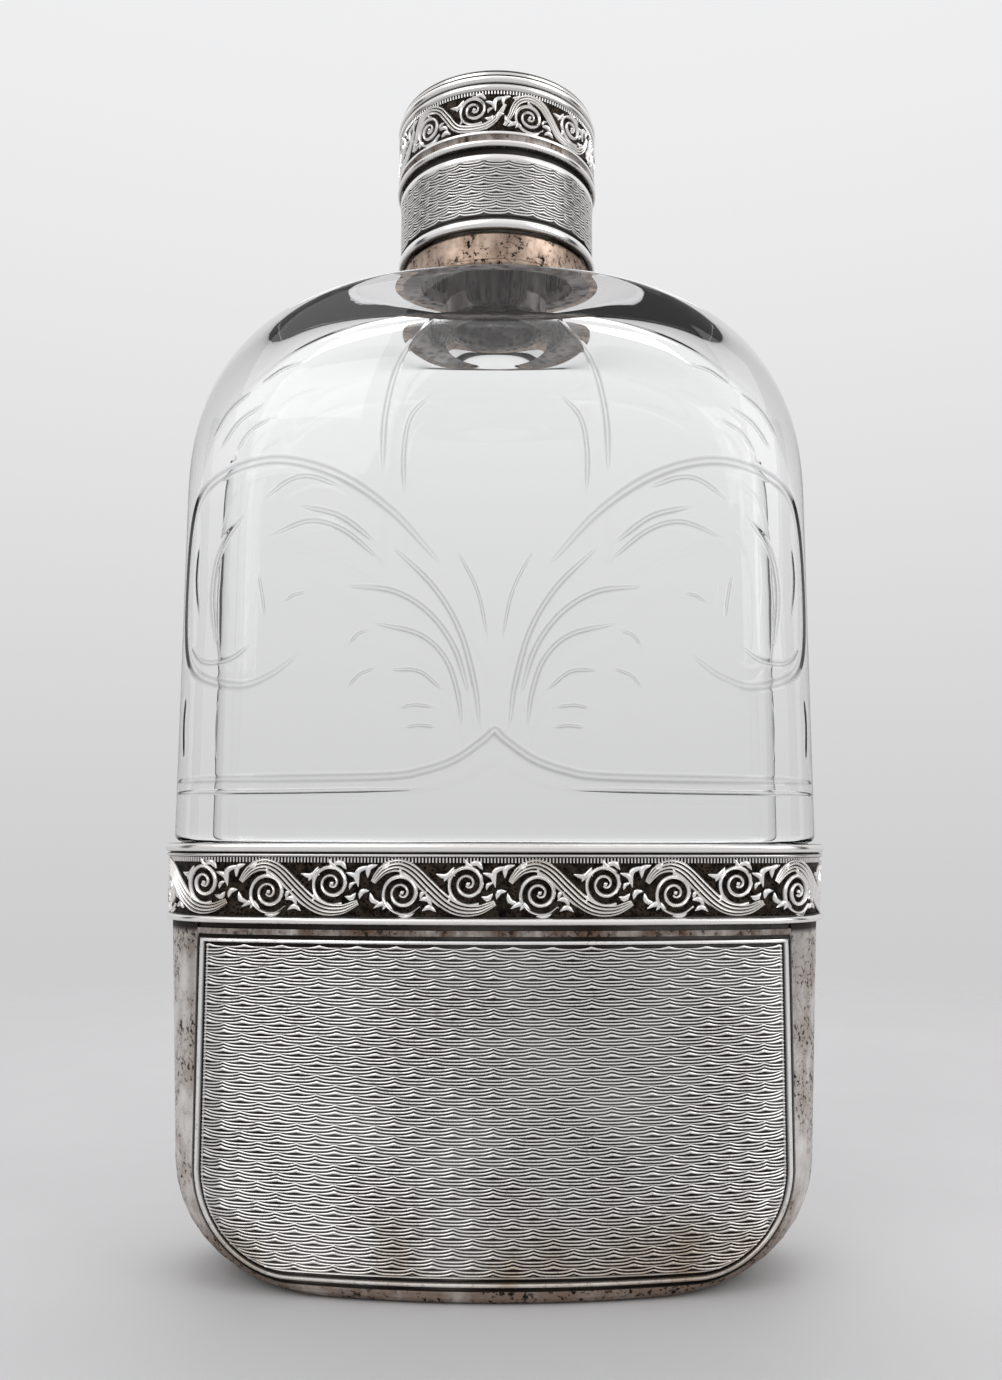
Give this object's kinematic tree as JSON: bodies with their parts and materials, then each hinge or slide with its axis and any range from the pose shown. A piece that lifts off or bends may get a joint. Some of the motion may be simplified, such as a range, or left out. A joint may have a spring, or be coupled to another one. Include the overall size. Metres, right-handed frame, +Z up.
{
  "type": "hip flask",
  "caption": "Flat glass hip flask with a slip-on silver cup over its lower half and a screw cap on its neck.",
  "frame": {"origin": "middle of the cup's flat base, on which the flask stands", "axes": "+Z up through the neck, +X across the flat faces to the right seen from the front, +Y towards the back face"},
  "size_m": [0.0792, 0.0296, 0.1425],
  "materials": {
    "glass": "clear cut glass, polished, with light engraving",
    "silver": "polished silver with light handling marks",
    "engine_turned_silver": "engine-turned silver, bright crests and darkened cuts",
    "scroll_silver": "chased silver scrollwork on a darkened ground",
    "tarnished_silver": "silver with warm brown tarnish",
    "cement": "plaster-like cement, matt",
    "cork": "natural cork, matt"
  },
  "bodies": {
    "flask": {"glass_body": "glass", "neck_cement": "cement", "neck_collar": "tarnished_silver", "collar_foot_wire": "tarnished_silver", "neck_thread_sleeve": "silver"},
    "seal": {"cork_disc": "cork", "cork_backing_plate": "silver"},
    "cap": {"cap_tube": "engine_turned_silver", "cap_thread_liner": "silver", "cap_rim_bead": "silver", "cap_lower_wire": "silver", "cap_scroll_band": "scroll_silver", "cap_upper_wire": "silver", "cap_crown": "silver"},
    "cup": {"cup_front_panel": "engine_turned_silver", "cup_back_panel": "engine_turned_silver", "cup_edge_strip": "silver", "cup_lower_wire": "silver", "cup_scroll_band": "scroll_silver", "cup_rim_wire": "silver"}
  },
  "joints": [
    {"name": "flask_pull", "type": "slide", "parent": "cup", "child": "flask", "axis": [0, 0, 1], "range_m": [0, 0.05]},
    {"name": "cap_lift", "type": "slide", "parent": "flask", "child": "seal", "axis": [0, 0, 1], "range_m": [0, 0.0242]},
    {"name": "cap_turn", "type": "hinge", "parent": "seal", "child": "cap", "pos_m": [0, 0, 0.1208], "axis": [0, 0, 1], "range_deg": [0, 2160]}
  ],
  "couplings": [
    {"joint": "cap_lift", "follows": "cap_turn", "m_per_rad": 0.00063662}
  ]
}
